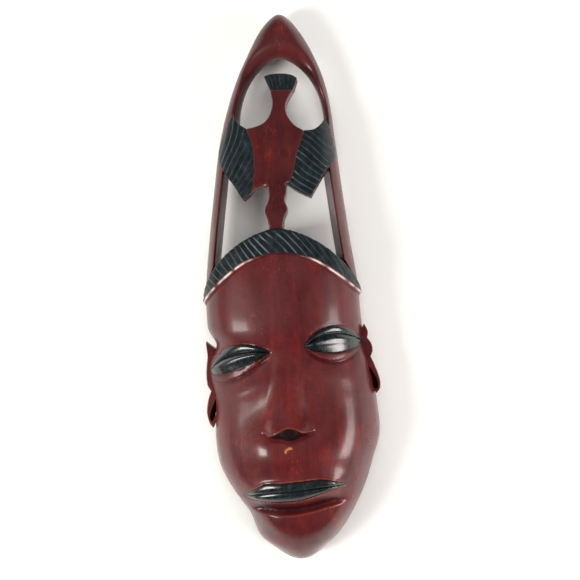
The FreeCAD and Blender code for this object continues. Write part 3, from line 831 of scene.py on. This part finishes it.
# The wall of the opening is square to the log below; above, it is rolled over at both its edges.
upper = soft(in_h, 352.0, 396.0)
roll = 1.5 + 3.5 * upper + 7.5 * soft(in_h, 424.0, 455.0)
waist = 0.94 - 0.42 * upper
grow = 2.0 * upper + 2.5 * soft(in_h, 424.0, 455.0) - np.where(side < 0, 0.0, 6.7) * (1.0 - upper)
front_x, front_h = in_x + way_x * roll, in_h + way_h * roll
back_x, back_h = in_x + way_x * grow, in_h + way_h * grow


def spread_along(values):
    """A value per column, given to every vertex of its column."""
    return np.interp(along, (travel + 1.0) / 2.0, values)


out_x, out_h, in_x, in_h = (spread_along(values) for values in (out_x, out_h, in_x, in_h))
front_x, front_h, back_x, back_h = (spread_along(values) for values in (front_x, front_h, back_x, back_h))
waist, side = spread_along(waist), np.where(along < 0.5, -1.0, 1.0)
front = unit(around / 0.46) ** 2.6
over = unit((around - 0.46) / 0.18) * math.pi / 2
wall = unit((around - 0.64) / 0.24)
rear = unit((around - 0.88) / 0.12)
x = out_x + (front_x - out_x) * front + (in_x - front_x) * np.sin(over)
h = out_h + (front_h - out_h) * front + (in_h - front_h) * np.sin(over)
edge_y = -depth(front_x, front_h)
y = np.where(around <= 0.46, -depth(x, h), edge_y * (waist + (1.0 - waist) * np.cos(over)))
y = np.where(wall > 0.0, edge_y * waist * (1.0 - wall), y)
x = x + (back_x - in_x) * wall ** 1.6 + (out_x - back_x) * rear
h = h + (back_h - in_h) * wall ** 1.6 + (out_h - back_h) * rear
set_forms(arch, x, y, h)
close_up(arch)
relax(arch, 14)

# The pocket for the hanger, pared square, with its corners a little round.
POCKET_HALF, POCKET_DEEP, POCKET_HIGH = 8.0 * MM, 7.0 * MM, 6.0 * MM
ring_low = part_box("hanger_ring")[0]
bpy.ops.object.select_all(action="DESELECT")
bpy.ops.mesh.primitive_cube_add(size=1, location=(0, 0, 0))
pocket = bpy.context.object
pocket_low = ring_low[2] - 1.4 * MM
places = read_points(pocket)
places[:, 0] *= 2 * POCKET_HALF
places[:, 1] = np.where(places[:, 1] < 0, -POCKET_DEEP, 5.0 * MM)
places[:, 2] = np.where(places[:, 2] < 0, pocket_low, POCKET_HIGH)
write_points(pocket, places)
rounding = pocket.modifiers.new("round", "BEVEL")
rounding.width = 1.2 * MM
rounding.segments = 3
bpy.context.view_layer.objects.active = pocket
bpy.ops.object.modifier_apply(modifier=rounding.name)
cut_with(arch, pocket)
smooth_faces(arch, 45.0)
mark_edges(arch)
mark(arch, "stain_and_painted_shade", np.full(len(arch.data.vertices), CREST_DARK))
mark(arch, "dull", np.full(len(arch.data.vertices), CREST_DARK))
arch.data.materials.append(polished)
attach(arch, "mask")
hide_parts("crest_frame")

# ----------------------------------------------------------
# The bird, head down in the arch: a plank bowed like the log, about 16 mm thick. The body runs down into a
# neck, a lozenge of a head and a beak that stands on the crown. All its edges are rounded by hand.
# ----------------------------------------------------------
PLANK = 16.0                                    # thickness


def outline(runs, step=0.8):
    """Points round a closed outline of smooth runs, each drawn through a few points."""
    ring = []
    for run in runs:
        run = np.array(run)
        gaps = np.hypot(*np.diff(run, axis=0).T)
        knots = np.concatenate([[0.0], np.cumsum(gaps)])
        count = max(2, int(knots[-1] / step))
        at = np.linspace(0.0, knots[-1], count, endpoint=False)
        ring += list(zip(through(knots, run[:, 0], at), through(knots, run[:, 1], at)))
    return ring


def plank_piece(name, ring, voxel, smoothing):
    """A flat slab of the outline's shape with rounded edges, its thickness running from -8 to 8 mm."""
    bpy.ops.object.select_all(action="DESELECT")
    bpy.ops.mesh.primitive_circle_add(vertices=len(ring), radius=1, fill_type="NGON", location=(0, 0, 0))
    piece = bpy.context.object
    piece.name = name
    ring = np.array(ring)
    set_forms(piece, ring[:, 0], np.full(len(ring), -PLANK / 2), ring[:, 1])
    bpy.ops.object.mode_set(mode="EDIT")
    bpy.ops.mesh.select_all(action="SELECT")
    bpy.ops.mesh.extrude_region_move(TRANSFORM_OT_translate={"value": (0, PLANK * MM, 0)})
    bpy.ops.mesh.select_all(action="SELECT")
    bpy.ops.mesh.normals_make_consistent(inside=False)
    bpy.ops.object.mode_set(mode="OBJECT")
    piece.data.remesh_voxel_size = voxel * MM
    bpy.ops.object.voxel_remesh()
    relax(piece, smoothing)
    return piece


def facing(piece):
    """How squarely each vertex faces the front, before the plank is bowed."""
    normals = np.empty(len(piece.data.vertices) * 3)
    piece.data.vertices.foreach_get("normal", normals)
    return -normals.reshape(-1, 3)[:, 1]


def bow(piece, proud, back_limit=-6.0, swell=None):
    """Bends a slab to the log's bow: its front stands out of the log by proud."""
    x, y, h = get_forms(piece)
    front = -np.maximum(depth(x, h), PLANK) - proud
    if swell is not None:
        front = front - swell(x, h)
    back = np.minimum(-np.maximum(depth(x, h), PLANK) + PLANK, back_limit)
    set_forms(piece, x, front + (y + PLANK / 2) / PLANK * (back - front), h)
    return x, h


# Edges that the body shares with the tail and the wings, each a smooth line through its points.
STEM = [(-10.0, 423.8), (0.0, 423.2), (9.7, 422.8)]
LEFT_FLANK = [
    (-28.0, 333.0), (-26.6, 342.1), (-25.6, 351.3), (-25.5, 363.1), (-27.1, 375.0), (-32.1, 390.0),
]
RIGHT_FLANK = [(18.5, 386.0), (15.5, 375.2), (11.8, 365.9), (9.1, 351.9), (5.5, 340.5)]
RIGHT_NOTCH = [(5.5, 340.5), (2.0, 338.8)]
BODY = [
    STEM,
    [
        (9.7, 422.8), (6.3, 417.3), (3.6, 411.4), (3.0, 406.7), (4.3, 400.6), (8.0, 394.0), (12.5, 389.5),
        (18.5, 386.0),
    ],
    RIGHT_FLANK,
    RIGHT_NOTCH,
    [(2.0, 338.8), (1.5, 330.2), (0.0, 324.5), (2.2, 316.4), (-1.0, 307.3), (-2.6, 294.0)],
    [(-2.6, 294.0), (-13.2, 294.0)],
    [
        (-13.2, 294.0), (-14.8, 307.3), (-17.2, 316.1), (-13.9, 324.7), (-13.3, 329.8), (-13.7, 334.9),
        (-16.4, 337.5),
    ],
    [(-16.4, 337.5), (-22.5, 336.8), (-28.0, 333.0)],
    LEFT_FLANK,
    [
        (-32.1, 390.0), (-23.3, 391.4), (-16.2, 394.5), (-12.0, 399.1), (-9.5, 404.9), (-8.2, 412.1),
        (-10.0, 423.8),
    ],
]


def breast(x, h):
    """The body's front is a little fuller along its middle, and the head is a rounded lozenge."""
    middle = np.interp(h, [300.0, 340.0, 425.0], [-7.0, -7.0, -1.5])
    full = 1.6 * peak(x - middle, 11.0) * soft(h, 340.0, 372.0)
    lozenge = 1.6 * np.exp(-(((x + 7.0) / 6.5) ** 2) - ((h - 316.5) / 9.0) ** 2)
    shoulders = 1.6 * np.exp(-(((np.abs(x + 6.2) - 8.6) / 2.6) ** 2) - ((h - 340.5) / 3.5) ** 2)
    return full + lozenge + shoulders - 1.2 * peak(h - 299.0, 5.0)


bird = plank_piece("bird_carved", outline(BODY), 0.75, 4)
bow(bird, 0.9, swell=breast)
smooth_faces(bird, 60.0)
mark_edges(bird)
mark(bird, "stain_and_painted_shade", np.full(len(bird.data.vertices), 1.5 * CREST_DARK))
bird.data.materials.append(polished)
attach(bird, "mask")
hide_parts("bird_body", "bird_beak")

# ----------------------------------------------------------
# The tail, a small fan over the stem. Its front is ribbed and stained black; its edges stay red.
# ----------------------------------------------------------
TAIL = [
    [(-15.3, 436.7), (-10.6, 438.3), (0.0, 438.6), (9.2, 437.0), (13.7, 434.3)],
    [(13.7, 434.3), (11.9, 428.0), (9.7, 422.8)],
    STEM[::-1],
    [(-10.0, 423.8), (-12.7, 429.7), (-15.3, 436.7)],
]
TAIL_MID = 431.0
TAIL_PITCH = 3.6


def carve_front(piece, amount, square_on):
    """Moves a piece's front in by an amount in millimetres."""
    x, y, h = get_forms(piece)
    set_forms(piece, x, y + amount * soft(square_on, 0.3, 0.8), h)


tail = plank_piece("tail_carved", outline(TAIL), 0.6, 3)
square_on = facing(tail)
x, h = bow(tail, 0.6)
phase = (x + 1.0 - 0.35 * (h - TAIL_MID) * (x + 1.0) / 14.0 + 0.12 * (h - TAIL_MID)) / TAIL_PITCH
carve_front(tail, 0.7 * shingle(phase), square_on)
mark(tail, "ridge", crest_of(phase) * soft(square_on, 0.6, 0.9) * 0.5)
mark(tail, "stain", soft(square_on, 0.35, 0.55))
mark(tail, "edge", peak(square_on - 0.5, 0.2))
smooth_faces(tail, 60.0)
tail.data.materials.append(blackened)
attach(tail, "mask")
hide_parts("bird_tail")

# ----------------------------------------------------------
# The wings. Each spreads from the body over the upright of its side, scored with slanting cuts and stained
# black in front, with its red edges left bare.
# ----------------------------------------------------------
LEFT_WING = [
    LEFT_FLANK[::-1],
    [(-28.0, 333.0), (-36.0, 326.0)],
    [(-36.0, 326.0), (-44.4, 339.9), (-51.8, 350.2), (-58.3, 362.3), (-60.8, 373.5)],
    [(-60.8, 373.5), (-57.0, 382.0), (-50.6, 395.1), (-44.5, 406.2)],
    [(-44.5, 406.2), (-42.1, 399.5), (-38.3, 394.6), (-32.1, 390.0)],
]
RIGHT_WING = [
    [(18.5, 386.0), (27.2, 387.1), (34.2, 393.2), (37.7, 400.3)],
    [(37.7, 400.3), (40.7, 388.8), (43.7, 377.6), (45.6, 364.6)],
    [(45.6, 364.6), (42.0, 357.3), (36.1, 349.5), (30.2, 339.9), (22.6, 326.5)],
    [(22.6, 326.5), (16.4, 329.4), (9.7, 333.2), (2.0, 338.8)],
    RIGHT_NOTCH[::-1],
    RIGHT_FLANK[::-1],
]
WING_PITCH = 5.0
WING_MID = 365.0
# Each wing's node and outline, the way across its cuts, and how much they curl.
WINGS = (
    ("left_wing", LEFT_WING, (0.90, -0.44), 0.0040),
    ("right_wing", RIGHT_WING, (0.62, 0.78), 0.0),
)
for node, runs, way, curl in WINGS:
    wing = plank_piece(node + "_carved", outline(runs), 0.6, 3)
    square_on = facing(wing)
    x, h = bow(wing, 1.2, -14.0)
    phase = (
        way[0] * x + way[1] * h + curl * (h - WING_MID) ** 2
    ) / WING_PITCH + 0.3 * wander(x, h, 26.0, 9.0)
    uneven = np.clip(0.8 + 0.45 * wander(x, h, 9.0, 4.0), 0.3, 1.2)
    carve_front(wing, 1.0 * shingle(phase) * uneven, square_on)
    mark(wing, "ridge", crest_of(phase) * uneven * soft(square_on, 0.6, 0.9))
    mark(wing, "stain", soft(square_on, 0.30, 0.50))
    mark(wing, "edge", 1.5 * peak(square_on - 0.42, 0.16))
    smooth_faces(wing, 60.0)
    wing.data.materials.append(blackened)
    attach(wing, "mask")
    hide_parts(node)

# ----------------------------------------------------------
# The eyes: under each brow a black crescent of lid, and below it a black lens with no iris. They are part of
# the face, stained and then rubbed to a gloss.
# ----------------------------------------------------------
def skin(x, h):
    """How far the face's broad forms stand out of the wall."""
    half, lean, deep, square = section(h)
    bare = x
    for _ in range(4):
        share = np.clip((bare - lean) / half, -0.9995, 0.9995)
        side = np.sign(share) * np.abs(share) ** (square / 2)
        bare = x - temple(h, side)
    fade = np.sqrt(unit(1.0 - side ** 2)) ** FADE
    return depth(bare, h) + forms(bare, h) * fade


def leaf_piece(name, low_curve, high_curve, profile, margins):
    """A leaf between two curves that meet at both ends, set into the face. The profile gives how far it
    stands out of the face at each share of its width; the margins tuck its long edges into the wood."""
    leaf, along, around = grid_piece(name, 120, 60)
    top = 0.7
    on_top = around < top
    across = np.where(on_top, around / top, (1.0 - around) / (1.0 - top))
    along = 0.5 - 0.5 * np.cos(math.pi * along)
    low_x, low_h = low_curve(along)
    high_x, high_h = high_curve(along)
    width = np.hypot(high_x - low_x, high_h - low_h)
    plump = unit(width / (0.5 * np.max(width))) ** 0.8
    low_h, high_h = low_h - margins[0] * plump, high_h + margins[1] * plump
    x = low_x + (high_x - low_x) * across
    h = low_h + (high_h - low_h) * across
    profile = np.array(profile)
    swell = through(profile[:, 0], profile[:, 1], across)
    under = swell[0] - 4.0 * unit(4.0 * across * (1.0 - across)) ** 0.4
    rise = np.where(on_top, swell, under) * plump - 1.0 * (1.0 - plump)
    set_forms(leaf, x, -(skin(x, h) + rise), h)
    close_up(leaf)
    mark(leaf, "edge", np.zeros(len(leaf.data.vertices)))
    smooth_faces(leaf, 60.0)
    leaf.data.materials.append(glossy)
    return leaf


# Black stain under several coats of polish, as on the rest of the black work but rubbed up until it shines.
glossy = new_material("mahogany_black_glossy")
cloud = clouds(glossy, (4.0, 4.0, 7.0), 4.0, 0.6, 91.0)
stain = add_node(glossy, "ValToRGB", (cloud,), stops=[(0.30, "080C0E"), (0.55, "12191C"), (0.78, "232B2D")])
wear_and_painted_highlight = add_node(glossy, "Attribute", out="Fac", attribute_name="edge")
stain = layer(glossy, stain, "7F7C76", wear_and_painted_highlight, 0.35)
gloss = add_node(glossy, "ValToRGB", (cloud,), stops=[(0.3, 0.20), (0.7, 0.34)])
grain = clouds(glossy, (5.0, 1.0, 0.7), 4.0, 0.6, 95.0)
give_surface(
    glossy, stain, gloss, grain, 0.12, 0.0002, IOR=1.5, Specular_IOR_Level=0.5, Coat_Weight=0.35,
    Coat_Roughness=0.12,
)

# Across each, from its lower edge to its upper one: the lid is a soft roll, the ball has a crisp ridge.
LID = [(0.0, -0.9), (0.10, 0.1), (0.35, 1.2), (0.65, 1.3), (0.88, 0.4), (1.0, -1.2)]
BALL = [
    (0.0, -1.2), (0.12, -0.3), (0.40, 0.9), (0.66, 2.3), (0.74, 2.5), (0.82, 2.0), (0.94, 0.2), (1.0, -0.9),
]
for name, eye in (("left", LEFT_EYE), ("right", RIGHT_EYE)):
    leaves = (
        ("lid", eye.edge, eye.top, LID, (0.0, 0.9)),
        ("ball", eye.foot, eye.edge, BALL, (0.9, 0.0)),
    )
    for part, low_over, high_over, profile, margins in leaves:
        leaf = leaf_piece(
            "%s_eye%s_carved" % (name, part), eye.curve(low_over), eye.curve(high_over), profile, margins)
        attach(leaf, "mask")
        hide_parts("%s_eye%s" % (name, part))

# ----------------------------------------------------------
# The lips, two long black leaves that meet in a thin line, a little uneven as the knife left them.
# ----------------------------------------------------------
def lip_curve(name):
    """One of the mouth's lines, from its left corner to its right one."""
    points = MOUTH[name]
    return lambda share: (
        points[0, 0] + (points[-1, 0] - points[0, 0]) * share,
        mouth(name, points[0, 0] + (points[-1, 0] - points[0, 0]) * share),
    )


UPPER = [(0.0, -0.7), (0.12, 0.3), (0.45, 1.3), (0.75, 1.0), (0.92, 0.1), (1.0, -1.0)]
LOWER = [(0.0, -1.0), (0.10, 0.0), (0.35, 1.1), (0.65, 1.4), (0.90, 0.4), (1.0, -0.7)]
LIPS = (
    ("upper_lip", "line", "upper", UPPER, (0.0, 0.9)),
    ("lower_lip", "lower", "line", LOWER, (0.9, 0.0)),
)
for name, low_name, high_name, profile, margins in LIPS:
    leaf = leaf_piece(name + "_carved", lip_curve(low_name), lip_curve(high_name), profile, margins)
    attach(leaf, "mask")
    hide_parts(name)

# ----------------------------------------------------------
# The ears, two thin leaves standing off the sides of the head. Each has a pointed top, a rounded body and a
# lobe stretched into a loop with a slot through it.
# ----------------------------------------------------------
LEFT_EAR = [
    [(-60.0, 196.0), (-70.0, 196.0), (-74.2, 198.6), (-79.4, 203.0)],
    [(-79.4, 203.0), (-78.2, 190.0), (-79.6, 176.0), (-79.0, 164.0), (-75.6, 158.2)],
    [(-75.6, 158.2), (-78.8, 149.0), (-80.2, 139.0), (-78.4, 129.5), (-75.3, 124.6)],
    [(-75.3, 124.6), (-71.8, 132.0), (-62.0, 146.0), (-60.0, 196.0)],
]
LEFT_SLOT = [
    [(-70.8, 152.5), (-75.0, 144.0), (-78.0, 134.5), (-75.9, 130.6), (-72.0, 138.0), (-70.8, 152.5)]
]
RIGHT_EAR = [
    [(54.0, 206.0), (61.4, 208.8), (64.6, 214.0)],
    [(64.6, 214.0), (67.6, 207.0), (66.8, 201.2)],
    [(66.8, 201.2), (70.6, 196.0), (71.4, 189.5), (69.4, 184.6)],
    [(69.4, 184.6), (72.6, 176.5), (76.6, 164.5), (76.6, 156.5), (73.2, 151.5)],
    [(73.2, 151.5), (68.4, 157.0), (58.0, 170.0), (54.0, 206.0)],
]
RIGHT_SLOT = [
    [
        (66.8, 177.0), (70.6, 171.5), (74.8, 162.0), (74.6, 156.0), (71.8, 155.4), (68.0, 164.0),
        (66.8, 177.0),
    ]
]
EAR_FRONT, EAR_BACK = -24.0, -11.0
SLOT_SLANT = 4.0                                # the slot runs in behind the lobe, and looks dark

for name, runs, hole, side in (("left", LEFT_EAR, LEFT_SLOT, -1.0), ("right", RIGHT_EAR, RIGHT_SLOT, 1.0)):
    ear = plank_piece(name + "_ear_carved", outline(runs, 0.6), 0.55, 3)
    slot_tool = plank_piece("slot", outline(hole, 0.6), 0.5, 1)
    x, y, h = get_forms(slot_tool)
    set_forms(slot_tool, x - side * SLOT_SLANT * (1.5 * y / PLANK + 0.5), y * 1.5, h)
    cut_with(ear, slot_tool)
    x, y, h = get_forms(ear)
    # Painted shade: the slot's inner wall is coloured dark.
    rim = np.array(outline(hole, 0.6))
    straight = x + side * SLOT_SLANT * (y / PLANK + 0.5)
    away = np.min(np.hypot(straight[:, None] - rim[None, :, 0], h[:, None] - rim[None, :, 1]), axis=1)
    mark(ear, "stain_and_painted_shade", np.where((away < 0.8) & (y > -0.42 * PLANK), 1.0, 0.0))
    low, high = h.min(), h.max()
    up = (h - low) / (high - low)
    deep = 0.45 + 0.55 * soft(up, 0.0, 0.35) * soft(1.04 - up, 0.0, 0.25)
    middle = (EAR_FRONT + EAR_BACK) / 2 + 3.0 * (up - 0.5)
    y = middle + y / PLANK * (EAR_BACK - EAR_FRONT) * deep
    outside = soft(side * (x - side * 69.0), -2.0, 4.0)
    dish = peak(y - middle - 1.0, 5.0) * soft(up, 0.42, 0.55) * soft(0.93 - up, 0.0, 0.12)
    x = x - side * 2.2 * dish * outside
    set_forms(ear, x, y, h)
    smooth_faces(ear, 55.0)
    mark_edges(ear)
    ear.data.materials.append(polished)
    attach(ear, "mask")
    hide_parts(name + "_ear")

# ----------------------------------------------------------
# The hanger: a folded steel strap held by one screw, with a wire ring that swings in it. Zinc plate gives a
# grey shine with fine rubbing marks and dull patches.
# ----------------------------------------------------------
zinc = new_material("zinc_plated_steel")
dull = clouds(zinc, (2.5, 2.5, 2.5), 4.0, 0.6, 5.0)
metal = add_node(zinc, "ValToRGB", (dull,), stops=[(0.3, "8E8F8C"), (0.7, "B9BBB8")])
gloss = add_node(zinc, "ValToRGB", (dull,), stops=[(0.3, 0.25), (0.7, 0.5)])
rubbing = clouds(zinc, (0.2, 1.5, 1.5), 3.0, 0.5, 15.0)
give_surface(zinc, metal, gloss, rubbing, 0.2, 0.00005, Metallic=1.0)
for node in ("hanger_strap", "hanger_ring", "hanger_screw"):
    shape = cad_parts[node]
    shape.data.materials.clear()
    shape.data.materials.append(zinc)

# ----------------------------------------------------------
# The studio: a pale sheet close behind the mask, the camera, and soft lights on both sides and in front.
# ----------------------------------------------------------
SHEET_BACK = 12.0 * MM
bpy.ops.object.select_all(action="DESELECT")
bpy.ops.mesh.primitive_plane_add(
    size=6.0, location=(0, SHEET_BACK, CHIN_Z + 0.25), rotation=(math.pi / 2, 0, 0),
)
sheet = bpy.context.object
sheet.name = "pale_sheet"
paper = new_material("pale_sheet_paper")
tone = add_node(
    paper, "ValToRGB", (clouds(paper, (300.0, 300.0, 300.0), 2.0),),
    stops=[(0.3, "EDEDEA"), (0.7, "F1F1EE")],
)
seen = add_node(paper, "BsdfDiffuse", {"Color": tone})
clear = add_node(paper, "BsdfTransparent")
behind = add_node(paper, "NewGeometry", out="Backfacing")
both = add_node(paper, "MixShader", (behind, seen, clear))
add_node(paper, "OutputMaterial", (both,))
sheet.data.materials.append(paper)
sheet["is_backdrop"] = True

# The camera looks at the middle of the mask, a little from the right, and is held a little askew.
look = Vector((0.0, -28.5 * MM, CHIN_Z + 250.6 * MM))
azimuth, roll = math.radians(4.0), math.radians(2.3)
CAMERA_AWAY = 807.5 * MM
back_way = Vector((math.sin(azimuth), -math.cos(azimuth), 0.0))
right_way = Vector(
    (math.cos(azimuth), math.sin(azimuth), 0.0),
) * math.cos(roll) - Vector((0, 0, 1)) * math.sin(roll)
up_way = back_way.cross(right_way)
camera = bpy.data.objects.new("camera", bpy.data.cameras.new("camera"))
bpy.context.scene.collection.objects.link(camera)
place = Matrix.Identity(4)
for column, axis in enumerate((right_way, up_way, back_way)):
    for line in range(3):
        place[line][column] = axis[line]
place.translation = look + back_way * CAMERA_AWAY
camera.matrix_world = place
camera.data.sensor_width = 36.0
camera.data.lens = 56.17
camera.data.shift_y = -0.0074
bpy.context.scene.camera = camera


def soft_light(name, place, size, power, tint, height=None):
    """A lamp with a broad face, turned to the mask."""
    data = bpy.data.lights.new(name, "AREA")
    data.shape = "RECTANGLE"
    data.size = size
    data.size_y = height or size
    data.energy = power
    data.color = linear(tint)[:3]
    lamp = bpy.data.objects.new(name, data)
    bpy.context.scene.collection.objects.link(lamp)
    lamp.location = place
    lamp.rotation_euler = (look - Vector(place)).to_track_quat("-Z", "Y").to_euler()
    return lamp


soft_light("light_left", (-0.95, -0.90, -0.56), 0.62, 18.0, "FFFDF8", 0.44)
soft_light("light_right", (1.15, -0.56, -0.66), 0.46, 18.0, "FFF8F6", 0.85)
soft_light("light_behind", (-0.6, 1.6, 0.5), 1.2, 12.0, "FFFFFF")
# Broad, even lights from above and in front that give no highlights of their own.
for even in (
    soft_light("light_above", (-0.10, -1.00, 0.95), 0.9, 6.0, "FFFFFF", 0.5),
    soft_light("light_front", (0.25, -1.9, 0.1), 1.1, 13.0, "FFFFFF"),
):
    even.visible_glossy = False

world = bpy.data.worlds.new("studio")
bpy.context.scene.world = world
world.use_nodes = True
world.node_tree.nodes["Background"].inputs[0].default_value = linear("F2F3F5")
world.node_tree.nodes["Background"].inputs[1].default_value = 0.12
bpy.context.scene.view_settings.view_transform = "Standard"

low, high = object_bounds()
{"cad": [cad_low, cad_high], "model": [list(low), list(high)]}
